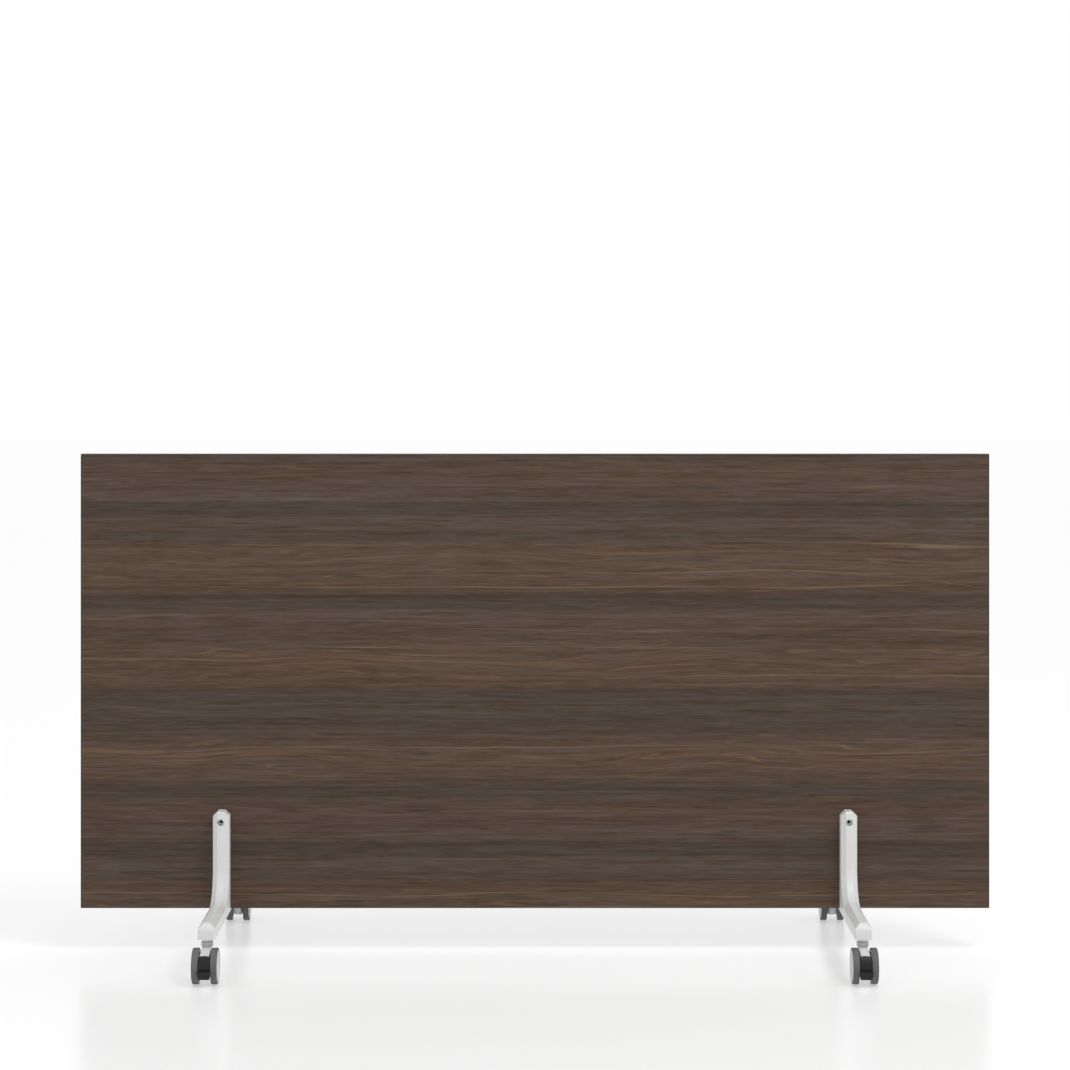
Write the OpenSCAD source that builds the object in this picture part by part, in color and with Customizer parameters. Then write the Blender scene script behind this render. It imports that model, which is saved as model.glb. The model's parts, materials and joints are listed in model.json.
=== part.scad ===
// Mobile room divider: one laminate panel stands in two cast legs, and each leg rolls on
// two twin-wheel swivel casters with foot brakes.
// The origin is on the floor below the middle of the panel. X runs along the panel,
// -Y faces the front and Z points up. Sizes are in millimetres.

/* [Panel] */
// Length of the panel over its edge bands
panel_l = 1829; // [1400:1:2400]
// Height of the panel over its edge bands
panel_h = 914; // [600:1:1500]
// Thickness of the panel over both laminate skins
panel_t = 25; // [18:0.5:32]
// Thickness of one laminate skin
skin_t = 0.8; // [0.6:0.1:1.5]
// Thickness of the band on each edge
band_t = 2; // [1:0.5:3]

/* [Leg] */
// Distance from the end of the panel to the middle of the leg
leg_inset = 285; // [120:1:420]
// Width of the cast bar
bar_w = 33; // [32:0.5:40]
// Depth of the cast bar, from its flat back to its outward facet
bar_d = 31; // [29:0.5:38]
// Size of the chamfers along the bar's two outward edges
bar_chamfer = 10.2; // [6:0.1:11]
// Radius of the concave bend between the upright and the foot
bend_r = 58; // [40:1:80]
// Height of the upright above the underside of the foot
upright_h = 204; // [190:1:320]
// Reach of the foot from the panel's face to its nose
foot_reach = 281; // [240:1:340]
// Width of the bevels on the two top corners of the upright
corner_bevel_w = 10.5; // [6:0.5:11]
// Height of the bevels on the two top corners of the upright
corner_bevel_h = 10; // [6:0.5:12]
// Size of the bevel along the front top edge of the upright
top_bevel = 3.5; // [2:0.5:10]
// Size of the bevel along the top edge of the nose
nose_bevel = 12; // [8:0.5:14]
// Wall of the cored casting
leg_wall = 4; // [3:0.25:5]
// Thickness of the cross ribs in the cored casting
rib_t = 3; // [2:0.5:4]
// Thickness of the saddle that carries the panel between the two uprights
saddle_t = 5; // [4:0.5:10]
// Clearance between each upright and the panel's face
slot_gap = 0.2; // [0.1:0.05:0.4]

/* [Leg fasteners] */
// Distance of the screw below the top of the upright
screw_drop = 22; // [21:0.5:40]
// Diameter of the screw's thread
screw_d = 8; // [6:0.5:8]
// Distance that the screw's tip reaches past the panel into the sleeve nut
screw_reach = 7; // [4:0.5:7.5]
// Diameter of the heads of the screw and of the sleeve nut
head_d = 13; // [12:0.5:14]
// Height of the heads
head_h = 8; // [6:0.5:8]
// Size across the flats of the hexagon sockets in the heads
socket_af = 6; // [5:0.5:6]
// Depth of the hexagon sockets
socket_depth = 4.5; // [3:0.5:5]
// Depth of a head's outer face below the bar's facet
head_recess = 11.5; // [8:0.5:12]
// Outer diameter of the sleeve nut's shank
sleeve_d = 10; // [9.5:0.5:11]
// Length of the sleeve nut below its head
sleeve_l = 26; // [20:1:27]
// Diameter of the casting's boss round a fastener
boss_d = 20; // [18:0.5:22]

/* [Caster mounting] */
// Distance from the nose of the foot to the swivel axis
stem_inset = 21; // [18:0.5:40]
// Outer diameter of the threaded insert in the foot
insert_d = 14; // [13:0.5:15]
// Length of the threaded insert
insert_l = 24; // [20:0.5:25]
// Diameter of the caster stem
stem_d = 10; // [8:0.5:10.5]
// Length of the stem's thread inside the insert
stem_thread_l = 20; // [14:0.5:22]
// Size across the flats of the stem's hexagon
hex_af = 17; // [16:0.5:19]
// Height of the stem's hexagon
hex_h = 6; // [5:0.5:8]
// Outer diameter of the swivel cap
cap_d = 23; // [22.5:0.5:26]
// Height of the swivel cap
cap_h = 9.7; // [9:0.1:12]
// Wall of the swivel cap
cap_wall = 1.4; // [1:0.1:1.6]
// Thickness of the swivel cap's top
cap_top_t = 2; // [1.5:0.1:2.5]
// Radius of the swivel cap's shoulder
cap_round = 2.5; // [1:0.25:2.5]
// Thickness of the thrust washer inside the swivel cap
washer_t = 1; // [0.8:0.1:1.5]

/* [Caster] */
// Outer diameter of a wheel over its tyre
wheel_d = 68.5; // [66:0.5:76]
// Width of one wheel
wheel_w = 12.5; // [11:0.5:16]
// Space between the two wheels of a caster
wheel_gap = 24; // [23:0.5:28]
// Thickness of the tyre
tyre_t = 3.8; // [3:0.1:5]
// Radius of the tyre's outer shoulder
tyre_shoulder = 2.4; // [1:0.1:2.8]
// Radius of the tyre's inner shoulder
tyre_inner_shoulder = 1; // [0.5:0.1:2]
// Distance from the swivel axis back to the axle
trail = 28; // [26:0.5:32]
// Clearance between the top of the wheels and the foot
wheel_clear = 13.5; // [13.5:0.5:30]
// Width of the fork between the wheels
fork_w = 17.5; // [16:0.5:17.5]
// Radius of the fork's round hub
fork_hub_r = 23.2; // [22:0.2:23.6]
// Size of the chamfer round the fork's hub
fork_chamfer = 2.5; // [1:0.25:3]
// Diameter of the fork's swivel neck
neck_d = 18.6; // [17:0.2:19]
// Length of the swivel bearing in the fork, below the fork's top
neck_l = 20.2; // [16:0.1:21]
// Diameter of the axle
axle_d = 7; // [6:0.5:8]
// Wall of the wheel hub's outer disc
disc_t = 2.5; // [2:0.1:3.5]
// Wall of the wheel hub's barrel, below the tyre
barrel_t = 3; // [2:0.25:4]
// Radius of the wheel hub's boss on the axle
hub_boss_r = 8; // [6.5:0.25:9]
// Number of ribs inside a wheel hub
hub_ribs = 6; // [4:1:8]

/* [Brake lever] */
// Width of the brake lever between the wheels
lever_w = 22; // [21.5:0.1:22.5]
// Thickness of the lever's curved shield
lever_t = 3; // [2:0.25:3]
// Depth of the lever's shield behind the outline of the wheels
lever_set = 1.3; // [0.8:0.1:1.5]
// Angle of the shield's top edge above the axle
lever_top_angle = 46; // [42:1:48]
// Angle of the shield's bottom edge below the axle
lever_low_angle = 33; // [30:1:34]
// Width of the pedal's cross bar
pedal_w = 26.4; // [24:0.2:30]
// Distance of the pedal's front edge beyond the wheels
pedal_reach = 9.3; // [8:0.1:14]
// Thickness of the pedal
pedal_t = 5; // [4:0.25:5.5]
// Diameter of the brake pin
pin_d = 4; // [3:0.5:4.5]

/* [Fits] */
// Radial clearance of pins, axles and stems in their bores
fit = 0.05; // [0.02:0.01:0.1]
// Clearance between faces that turn past each other
run_gap = 0.3; // [0.2:0.05:0.4]
// Radial clearance of screws and heads in their holes
screw_gap = 0.3; // [0.2:0.05:0.5]

/* [Hidden] */
$fn = 64;
// Margin by which a cut passes the face that it opens
over = 1;
// Depth to which one form runs into another of the same piece
bury = 0.5;

// Heights and places that the driving sizes give
wheel_r = wheel_d / 2;
foot_z = wheel_d + wheel_clear;
panel_z = foot_z + saddle_t;
slot_w = panel_t + 2 * slot_gap;
leg_x = panel_l / 2 - leg_inset;
stem_v = foot_reach - stem_inset;
stem_y = slot_w / 2 + stem_v;
bend_c = bar_d + bend_r;
screw_z = upright_h - screw_drop;
head_seat = bar_d - head_recess - head_h;
panel_hole_d = sleeve_d + 2 * screw_gap;

// Casting: the ends of its cores, and how many ribs stand in each
upright_core_top = upright_h - corner_bevel_h - leg_wall;
foot_core_end = foot_reach - nose_bevel - leg_wall;
upright_ribs = 1;
foot_ribs = 2;

// Swivel: heights above the floor, from the foot down
cap_top = foot_z - hex_h;
cap_bottom = cap_top - cap_h;
fork_top = cap_bottom - run_gap;
neck_top = cap_top - cap_top_t - washer_t - run_gap;
neck_bottom = fork_top - neck_l;

// Clip: its sizes, its play along the stem and the groove that holds it
clip_t = 1.2;
clip_d = 15;
clip_play = 0.1;
groove_depth = 1;
groove_r = stem_d / 2 - groove_depth;
groove_top = neck_bottom - run_gap + clip_play;
groove_bottom = groove_top - clip_t - 2 * clip_play;
stem_land = 2.2;
stem_bottom = groove_bottom - stem_land;
clip_pocket_gap = 0.8;

// Wheel: places along X from the middle of the caster
rim_r = wheel_r - tyre_t;
boss_face = fork_w / 2 + run_gap;
wheel_in = wheel_gap / 2;
wheel_out = wheel_in + wheel_w;
disc_in = wheel_out - disc_t;
axle_end_gap = 0.5;
axle_end = disc_in - axle_end_gap;
axle_tip = 1.7;
bead_w = 1;
bead_h = 0.4;
bead_play = 0.3;
bead_gap = 0.1;
bead_out = axle_end - axle_tip;
dish_depth = 0.6;
dish_lip = 3;
centre_cap_r = 9;
hub_rib_t = 2;
hub_rib_inset = 1;

// Brake lever: the shield's radii about the axle, and the pin's place from the axle
shield_out = wheel_r - lever_set;
shield_in = shield_out - lever_t;
pin_from_axle = [16, 15.7];
pin_v = trail + pin_from_axle[0];
pin_z = wheel_r + pin_from_axle[1];
cheek_t = lever_w / 2 - boss_face;
cheek_boss_r = 4.8;
cheek_top_above_pin = 4;
cheek_top = pin_z + cheek_top_above_pin;
cheek_low = wheel_r - 8;
cheek_low_from_axle = 24;
lever_corner_r = 7.8;

// Pedal and toe: the cross bar, and the places where both grow out of the shield
pedal_front = trail + wheel_r + pedal_reach;
pedal_bar_d = 5;
pedal_bar_r = 2.4;
pedal_lip_h = 1.5;
pedal_lean = 2;
pedal_root = trail + shield_out - 2;
pedal_top = wheel_r - 3.3;
pedal_bottom = pedal_top - pedal_t;
toe_w = 21;
toe_bottom = wheel_r - 19.8;
toe_slope = 5;
toe_root = trail + shield_out - 5;
toe_low_root = trail + shield_out - 7;

// Fork: corners of its web, from the axle, and how far its sides lie inside the round hub
crown_from_axle = [18, 24.3];
brow_from_axle = [21.5, 16.7];
web_inset = 1.5;
web_back_inset = 1;
web_front_reach = 3;

// Colours
walnut = "#584a40";
walnut_edge = "#51443b";
board = "#b59a74";
leg_paint = "#d3d5d3";
steel = "#b9bbbd";
cap_grey = "#9a9c9c";
light_plastic = "#cfd0cd";
tyre_grey = "#66696a";
black_plastic = "#303132";

// The casters: name, side along X and side along Y
CASTERS = [
    ["front_left", -1, -1],
    ["front_right", 1, -1],
    ["rear_left", -1, 1],
    ["rear_right", 1, 1]
];
FIXED = [
    "panel_core", "front_laminate", "back_laminate",
    "top_edge_band", "bottom_edge_band", "left_edge_band", "right_edge_band",
    "left_leg", "right_leg", "leg_screws", "sleeve_nuts", "stem_inserts",
    "thrust_washers", "stem_clips"
];
CASTER_PARTS = [
    "stem", "swivel_cap", "fork", "axle", "brake_lever", "brake_pin",
    "outer_hub", "outer_tyre", "inner_hub", "inner_tyre"
];

// A block centred on X and Y that stands on z
module block(size, z = 0) {
    translate([-size[0] / 2, -size[1] / 2, z])
        cube(size);
}

// A rod along Y between two places
module rod_y(d, y0, y1) {
    translate([0, y1, 0])
        rotate([90, 0, 0])
            cylinder(d = d, h = y1 - y0);
}

// A rod along X, centred
module rod_x(d, l) {
    rotate([0, 90, 0])
        cylinder(d = d, h = l, center = true);
}

// An outline drawn with Y and Z as its axes, extruded along X and centred
module side_plate(w) {
    rotate([90, 0, 90])
        linear_extrude(w, center = true)
            children();
}

// Points along an arc round a centre
function arc(centre, r, from, to, steps = 6) =
    [for (i = [0 : steps]) let (a = from + i * (to - from) / steps) centre + r * [cos(a), sin(a)]];

// A ring that is turned about the X axis from an outline of radius and place along X
module turned_x() {
    rotate([0, 90, 0])
        rotate_extrude($fn = 96)
            children();
}

// Repeats a piece in the middle of each leg
module at_legs() {
    for (side = [-1, 1])
        translate([side * leg_x, 0, 0])
            children();
}

// The holes for the leg fasteners, along Y through the panel
module panel_holes() {
    at_legs()
        translate([0, 0, foot_z + screw_z])
            rod_y(panel_hole_d, -panel_t, panel_t);
}

// Sheet that fills the panel inside its edge bands
module panel_sheet(y, t) {
    difference() {
        translate([-panel_l / 2 + band_t, y, panel_z + band_t])
            cube([panel_l - 2 * band_t, t, panel_h - 2 * band_t]);
        panel_holes();
    }
}

// Board inside the skins and the bands
module panel_core() {
    color(board)
        panel_sheet(-panel_t / 2 + skin_t, panel_t - 2 * skin_t);
}

// Laminate skin on the front
module front_laminate() {
    color(walnut)
        panel_sheet(-panel_t / 2, skin_t);
}

// Laminate skin on the back
module back_laminate() {
    color(walnut)
        panel_sheet(panel_t / 2 - skin_t, skin_t);
}

// Edge band along the top or the bottom, over the full length
module long_band(z) {
    color(walnut_edge)
        block([panel_l, panel_t, band_t], z);
}

// Edge band at one end, between the long ones
module end_band(side) {
    color(walnut_edge)
        translate([side * (panel_l - band_t) / 2, 0, 0])
            block([band_t, panel_t, panel_h - 2 * band_t], panel_z + band_t);
}

// Section of the bar: a flat back at the given place, chamfered on its outward side
module bar_section(inset, back) {
    w = bar_w / 2 - inset;
    d = bar_d - inset;
    c = bar_chamfer - inset * (2 - sqrt(2));
    polygon([[-w, back], [w, back], [w, d - c], [w - c, d], [-w + c, d], [-w, d - c]]);
}

// The bar swept from the upright round the concave bend into the foot, seen from the side:
// the upright's back lies on y = 0 and the foot's underside on z = 0
module bar_sweep(inset, back, bend_depth, top, reach) {
    translate([0, 0, bend_c])
        linear_extrude(top - bend_c)
            bar_section(inset, back);
    translate([0, reach, 0])
        rotate([90, 0, 0])
            linear_extrude(reach - bend_c)
                bar_section(inset, back);
    intersection() {
        translate([0, bend_c, bend_c])
            rotate([90, 0, 90])
                rotate([0, 0, 180])
                    rotate_extrude(angle = 90, $fn = 96)
                        bend_section(inset, bend_depth);
        translate([-bar_w, 0, 0])
            cube([2 * bar_w, bend_c, bend_c]);
    }
}

// Section of the bend, from its concave facet out to the given depth
module bend_section(inset, depth) {
    r = bend_r + inset;
    w = bar_w / 2 - inset;
    c = bar_chamfer - inset * (2 - sqrt(2));
    polygon([[r, c - w], [r, w - c], [r + c, w], [bend_r + depth, w], [bend_r + depth, -w], [r + c, -w]]);
}

// Wedges that bevel the top of the upright and the nose of the foot
module end_bevels() {
    for (side = [0, 1])
        mirror([side, 0, 0])
            translate([0, bar_d + over, upright_h])
                rotate([90, 0, 0])
                    linear_extrude(bar_d + 2 * over)
                        corner_wedge(bar_w / 2, corner_bevel_w, corner_bevel_h);
    translate([0, 0, upright_h])
        side_plate(bar_w + 2 * over)
            corner_wedge(bar_d, top_bevel, top_bevel);
    translate([0, 0, bar_d])
        side_plate(bar_w + 2 * over)
            corner_wedge(foot_reach, nose_bevel, nose_bevel);
}

// Triangle over a corner that lies at the given place and height zero
module corner_wedge(place, w, h) {
    grow = over / h;
    polygon([
        [place - w * (1 + grow), over], [place + w * grow, -h - over], [place + w * grow, over]
    ]);
}

// Hollow that the foundry core leaves, open to the panel and to the floor
module bar_core() {
    difference() {
        bar_sweep(leg_wall, -over, bar_d - leg_wall, upright_core_top, foot_core_end);
        translate([0, 0, screw_z])
            rod_y(boss_d, -2 * over, bar_d);
        translate([0, stem_v, -2 * over])
            cylinder(d = boss_d, h = bar_d);
        for (i = [1 : upright_ribs])
            block([bar_w, 2 * bar_d, rib_t], bend_c + i * (screw_z - bend_c) / (upright_ribs + 1));
        for (i = [1 : foot_ribs])
            translate([0, bend_c + i * (stem_v - bend_c) / (foot_ribs + 1), 0])
                block([bar_w, rib_t, 2 * bar_d], -bar_d);
    }
}

// One arm of a leg, with the panel's face at y = 0 and the foot along +Y
module arm(shank_hole_d) {
    difference() {
        bar_sweep(0, 0, bend_c * sqrt(2), upright_h, foot_reach);
        end_bevels();
        bar_core();
        translate([0, 0, screw_z]) {
            rod_y(shank_hole_d, -over, bar_d);
            rod_y(head_d + 2 * screw_gap, head_seat, bar_d + over);
        }
        translate([0, stem_v, -over])
            cylinder(d = insert_d + 2 * fit, h = insert_l + run_gap + over);
    }
}

// Leg: a front arm and a rear arm cast as one with the saddle under the panel
module leg(side) {
    color(leg_paint)
        translate([side * leg_x, 0, foot_z]) {
            translate([0, slot_w / 2, 0])
                arm(panel_hole_d);
            mirror([0, 1, 0])
                translate([0, slot_w / 2, 0])
                    arm(screw_d + 2 * screw_gap);
            block([bar_w, slot_w, saddle_t]);
        }
}

// Socket in the end of a head, cut along Y from its outer face
module hex_socket() {
    rotate([90, 0, 0])
        cylinder(d = socket_af / cos(30), h = 2 * socket_depth, center = true, $fn = 6);
}

// Screws from the front, through each leg and the panel
module leg_screws() {
    color(steel)
        at_legs()
            translate([0, -slot_w / 2, foot_z + screw_z])
                difference() {
                    union() {
                        rod_y(head_d, -head_seat - head_h, -head_seat);
                        rod_y(screw_d, -head_seat - over, slot_w + screw_reach);
                    }
                    translate([0, -head_seat - head_h, 0])
                        hex_socket();
                }
}

// Sleeve nuts from the rear, which take the screws
module sleeve_nuts() {
    color(steel)
        at_legs()
            translate([0, slot_w / 2, foot_z + screw_z])
                difference() {
                    union() {
                        rod_y(head_d, head_seat, head_seat + head_h);
                        rod_y(sleeve_d, head_seat - sleeve_l, head_seat + over);
                    }
                    rod_y(screw_d + 2 * fit, head_seat - sleeve_l - over, head_seat - over);
                    translate([0, head_seat + head_h, 0])
                        hex_socket();
                }
}

// Place of a caster: its swivel axis on the floor, with its wheels towards +Y
module at_caster(c) {
    translate([c[1] * leg_x, c[2] * stem_y, 0])
        mirror([0, c[2] < 0 ? 1 : 0, 0])
            children();
}

// A flat ring about the swivel axis
module washer(od, id, z, t) {
    translate([0, 0, z])
        difference() {
            cylinder(d = od, h = t);
            translate([0, 0, -over])
                cylinder(d = id, h = t + 2 * over);
        }
}

// Threaded steel inserts in the feet
module stem_inserts() {
    color(steel)
        for (c = CASTERS)
            at_caster(c)
                washer(insert_d, stem_d + 2 * fit, foot_z, insert_l);
}

// Thrust washers between the swivel caps and the forks
module thrust_washers() {
    color(cap_grey)
        for (c = CASTERS)
            at_caster(c)
                washer(neck_d, stem_d + 2 * fit, cap_top - cap_top_t - washer_t, washer_t);
}

// Clips that hold the forks on the stems
module stem_clips() {
    color(steel)
        for (c = CASTERS)
            at_caster(c)
                washer(clip_d, 2 * (groove_r + fit), groove_bottom + clip_play, clip_t);
}

// Stem: a thread in the foot, a hexagon under it and a spindle down through the fork
module stem(c) {
    color(steel)
        at_caster(c)
            difference() {
                union() {
                    translate([0, 0, stem_bottom])
                        cylinder(d = stem_d, h = foot_z + stem_thread_l - stem_bottom);
                    translate([0, 0, cap_top])
                        rotate([0, 0, 30])
                            cylinder(d = hex_af / cos(30), h = hex_h, $fn = 6);
                }
                washer(clip_d, 2 * groove_r, groove_bottom, groove_top - groove_bottom);
            }
}

// Cap over the swivel bearing, fixed under the stem's hexagon
module swivel_cap(c) {
    bore = stem_d / 2 + fit;
    r = cap_d / 2;
    color(cap_grey)
        at_caster(c)
            translate([0, 0, cap_bottom])
                rotate_extrude()
                    polygon(concat(
                        [
                            [bore, cap_h], [bore, cap_h - cap_top_t], [r - cap_wall, cap_h - cap_top_t],
                            [r - cap_wall, 0], [r, 0]
                        ],
                        arc([r - cap_round, cap_h - cap_round], cap_round, 0, 90)
                    ));
}

// Side outline of the fork's web, from the swivel neck to the hub and the brake pin
module fork_outline() {
    axle = [trail, wheel_r];
    neck_r = neck_d / 2;
    side = fork_hub_r - web_inset;
    polygon([
        [web_back_inset - neck_r, neck_bottom], [web_back_inset - neck_r, fork_top],
        [neck_r + web_front_reach, fork_top],
        axle + crown_from_axle, axle + brow_from_axle,
        axle + [side, 0], axle - [side, 0], [trail - side, neck_bottom]
    ]);
}

// Fork: swivel neck, web and hub between the two wheels
module fork(c) {
    hub = fork_w / 2;
    color(light_plastic)
        at_caster(c)
            difference() {
                union() {
                    translate([0, 0, neck_bottom])
                        cylinder(d = neck_d, h = neck_top - neck_bottom);
                    side_plate(fork_w)
                        fork_outline();
                    translate([0, trail, wheel_r])
                        turned_x()
                            polygon([
                                [0, -hub], [fork_hub_r - fork_chamfer, -hub],
                                [fork_hub_r, -hub + fork_chamfer], [fork_hub_r, hub - fork_chamfer],
                                [fork_hub_r - fork_chamfer, hub], [0, hub]
                            ]);
                }
                translate([0, 0, neck_bottom - over])
                    cylinder(d = stem_d + 2 * fit, h = neck_top - neck_bottom + 2 * over);
                clip_pocket();
                translate([0, trail, wheel_r])
                    rod_x(axle_d + 2 * fit, fork_w + 2 * over);
                translate([0, pin_v, pin_z])
                    rod_x(pin_d + 2 * fit, fork_w + 2 * over);
            }
}

// Space in the fork below its neck, for the clip and the end of the stem
module clip_pocket() {
    bottom = stem_bottom - clip_pocket_gap;
    translate([0, 0, bottom])
        cylinder(d = clip_d + 2 * clip_pocket_gap, h = neck_bottom - bottom);
}

// Axle: a steel pin with a groove near each end that the wheel hubs snap into
module axle(c) {
    groove_in = bead_out - bead_w - bead_play;
    groove_w = bead_w + 2 * bead_play;
    color(steel)
        at_caster(c)
            translate([0, trail, wheel_r])
                difference() {
                    rod_x(axle_d, 2 * axle_end);
                    for (side = [0, 1])
                        mirror([side, 0, 0])
                            turned_x()
                                translate([axle_d / 2 - bead_h - bead_gap, groove_in])
                                    square([over, groove_w]);
                }
}

// Places a wheel piece on the axle, facing +X or -X
module at_wheel(c, dir) {
    at_caster(c)
        translate([0, trail, wheel_r])
            mirror([dir < 0 ? 1 : 0, 0, 0])
                children();
}

// Wheel hub: outer disc, barrel under the tyre and a boss that runs on the axle
module wheel_hub(c, dir) {
    bore = axle_d / 2 + fit;
    barrel_in = rim_r - barrel_t;
    color(light_plastic)
        at_wheel(c, dir) {
            turned_x()
                polygon([
                    [bore, boss_face], [hub_boss_r, boss_face], [hub_boss_r, disc_in],
                    [barrel_in, disc_in], [barrel_in, wheel_in], [rim_r, wheel_in],
                    [rim_r, wheel_out], [rim_r - dish_lip, wheel_out],
                    [rim_r - dish_lip - dish_depth, wheel_out - dish_depth],
                    [centre_cap_r + dish_depth, wheel_out - dish_depth], [centre_cap_r, wheel_out],
                    [0, wheel_out], [0, axle_end + run_gap], [bore, axle_end + run_gap],
                    [bore, bead_out], [bore - bead_h, bead_out],
                    [bore - bead_h, bead_out - bead_w], [bore, bead_out - bead_w]
                ]);
            for (i = [0 : hub_ribs - 1])
                rotate([i * 360 / hub_ribs, 0, 0])
                    translate([wheel_in + hub_rib_inset, hub_boss_r - bury, -hub_rib_t / 2])
                        cube([
                            disc_in - wheel_in - hub_rib_inset + bury,
                            barrel_in - hub_boss_r + 2 * bury, hub_rib_t
                        ]);
        }
}

// Tyre with rounded shoulders
module tyre(c, dir) {
    s = tyre_shoulder;
    t = tyre_inner_shoulder;
    color(tyre_grey)
        at_wheel(c, dir)
            turned_x()
                polygon(concat(
                    [[rim_r, wheel_out], [rim_r, wheel_in]],
                    arc([wheel_r - t, wheel_in + t], t, -90, 0),
                    arc([wheel_r - s, wheel_out - s], s, 0, 90)
                ));
}

// Steel pin that the brake lever turns on
module brake_pin(c) {
    color(steel)
        at_caster(c)
            translate([0, pin_v, pin_z])
                rod_x(pin_d, lever_w);
}

// Outline of the lever seen from the front: round top corners
module lever_front_outline() {
    w = lever_w / 2;
    r = lever_corner_r;
    top = wheel_r + shield_out * sin(lever_top_angle);
    polygon(concat(
        [[-w, 0], [w, 0]],
        arc([w - r, top - r], r, 0, 90),
        arc([r - w, top - r], r, 90, 180)
    ));
}

// Curved shield between the wheels, about the axle
module lever_shield() {
    intersection() {
        translate([0, trail, wheel_r])
            rotate([90, 0, 90])
                rotate([0, 0, -lever_low_angle])
                    rotate_extrude(angle = lever_low_angle + lever_top_angle, $fn = 96)
                        translate([shield_in, -lever_w / 2])
                            square([lever_t, lever_w]);
        translate([0, 2 * wheel_d, 0])
            rotate([90, 0, 0])
                linear_extrude(2 * wheel_d)
                    lever_front_outline();
    }
}

// Side outline of a cheek, from the pin to the back of the shield
module cheek_outline() {
    translate([pin_v, pin_z])
        circle(r = cheek_boss_r);
    intersection() {
        translate([trail, wheel_r])
            circle(r = shield_in + bury);
        polygon([
            [pin_v, cheek_top], [trail + wheel_r, cheek_top], [trail + wheel_r, cheek_low],
            [trail + cheek_low_from_axle, cheek_low], [pin_v - cheek_boss_r, pin_z]
        ]);
    }
}

// Side outline of the pedal and of the toe under it
module toe_outline() {
    bar_back = pedal_front - pedal_bar_d;
    polygon([
        [toe_root, pedal_bottom + bury], [bar_back, pedal_bottom + bury], [bar_back, pedal_bottom],
        [bar_back - toe_slope, toe_bottom], [toe_low_root, toe_bottom]
    ]);
}

// Brake lever: shield, two cheeks on the pin, a toe, and a pedal that meets both tyres
module brake_lever(c) {
    color(black_plastic)
        at_caster(c)
            difference() {
                union() {
                    lever_shield();
                    for (side = [-1, 1])
                        translate([side * (lever_w - cheek_t) / 2, 0, 0])
                            side_plate(cheek_t)
                                cheek_outline();
                    side_plate(toe_w)
                        toe_outline();
                    pedal();
                }
                translate([0, pin_v, pin_z])
                    rod_x(pin_d + 2 * fit, lever_w + 2 * over);
            }
}

// Pedal: a tongue out of the shield and a cross bar with round ends
module pedal() {
    bar_back = pedal_front - pedal_bar_d;
    w = pedal_w / 2;
    r = pedal_bar_r;
    intersection() {
        translate([0, 0, pedal_bottom])
            linear_extrude(pedal_t)
                polygon(concat(
                    [
                        [-lever_w / 2, bar_back], [-lever_w / 2, pedal_root],
                        [lever_w / 2, pedal_root], [lever_w / 2, bar_back]
                    ],
                    arc([w - r, bar_back + r], r, -90, 0),
                    arc([w - r, pedal_front - r], r, 0, 90),
                    arc([r - w, pedal_front - r], r, 90, 180),
                    arc([r - w, bar_back + r], r, 180, 270)
                ));
        side_plate(pedal_w + 2 * over)
            polygon([
                [pedal_root - over, pedal_bottom - over], [pedal_root - over, pedal_top + over],
                [pedal_front, pedal_top + over], [pedal_front, pedal_top - pedal_lip_h],
                [pedal_front - pedal_lean * (1 + over / (pedal_t - pedal_lip_h)), pedal_bottom - over]
            ]);
    }
}

panel_core();
front_laminate();
back_laminate();
long_band(panel_z + panel_h - band_t);  // top_edge_band
long_band(panel_z);  // bottom_edge_band
end_band(-1);  // left_edge_band
end_band(1);  // right_edge_band
leg(-1);  // left_leg
leg(1);  // right_leg
leg_screws();
sleeve_nuts();
stem_inserts();
thrust_washers();
stem_clips();
for (c = CASTERS) {
    stem(c);
    swivel_cap(c);
    fork(c);
    axle(c);
    brake_lever(c);
    brake_pin(c);
    wheel_hub(c, c[1]);
    tyre(c, c[1]);
    wheel_hub(c, -c[1]);
    tyre(c, -c[1]);
}
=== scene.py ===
"""Looks of the mobile room divider: laminate panel, cast legs and braked twin-wheel casters.

Everything is in metres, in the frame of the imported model: X runs along the panel, -Y faces the
front and Z points up from the floor.
"""

import json
import logging
import math
from dataclasses import dataclass
from enum import Enum
from functools import reduce
from typing import ClassVar, Optional

import bpy
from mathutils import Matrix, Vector

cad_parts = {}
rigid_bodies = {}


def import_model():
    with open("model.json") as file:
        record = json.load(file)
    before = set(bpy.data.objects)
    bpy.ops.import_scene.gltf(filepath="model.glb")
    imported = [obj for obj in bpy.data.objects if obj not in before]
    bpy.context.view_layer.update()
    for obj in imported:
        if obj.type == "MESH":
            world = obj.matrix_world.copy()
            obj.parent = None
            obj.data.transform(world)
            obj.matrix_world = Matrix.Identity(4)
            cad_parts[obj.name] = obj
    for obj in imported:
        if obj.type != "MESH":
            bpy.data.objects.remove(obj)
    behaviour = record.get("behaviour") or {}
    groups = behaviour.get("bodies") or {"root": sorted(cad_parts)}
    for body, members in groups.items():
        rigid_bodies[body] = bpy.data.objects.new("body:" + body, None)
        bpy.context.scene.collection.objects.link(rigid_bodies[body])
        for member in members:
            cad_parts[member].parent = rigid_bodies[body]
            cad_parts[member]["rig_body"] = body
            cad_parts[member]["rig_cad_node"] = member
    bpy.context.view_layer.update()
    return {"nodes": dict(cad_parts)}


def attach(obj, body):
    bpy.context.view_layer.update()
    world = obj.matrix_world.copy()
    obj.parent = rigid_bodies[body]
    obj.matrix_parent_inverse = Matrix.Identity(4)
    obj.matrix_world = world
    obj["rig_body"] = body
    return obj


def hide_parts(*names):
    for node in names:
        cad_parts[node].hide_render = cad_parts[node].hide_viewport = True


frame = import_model()
LOG = logging.getLogger("room_divider")

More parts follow.
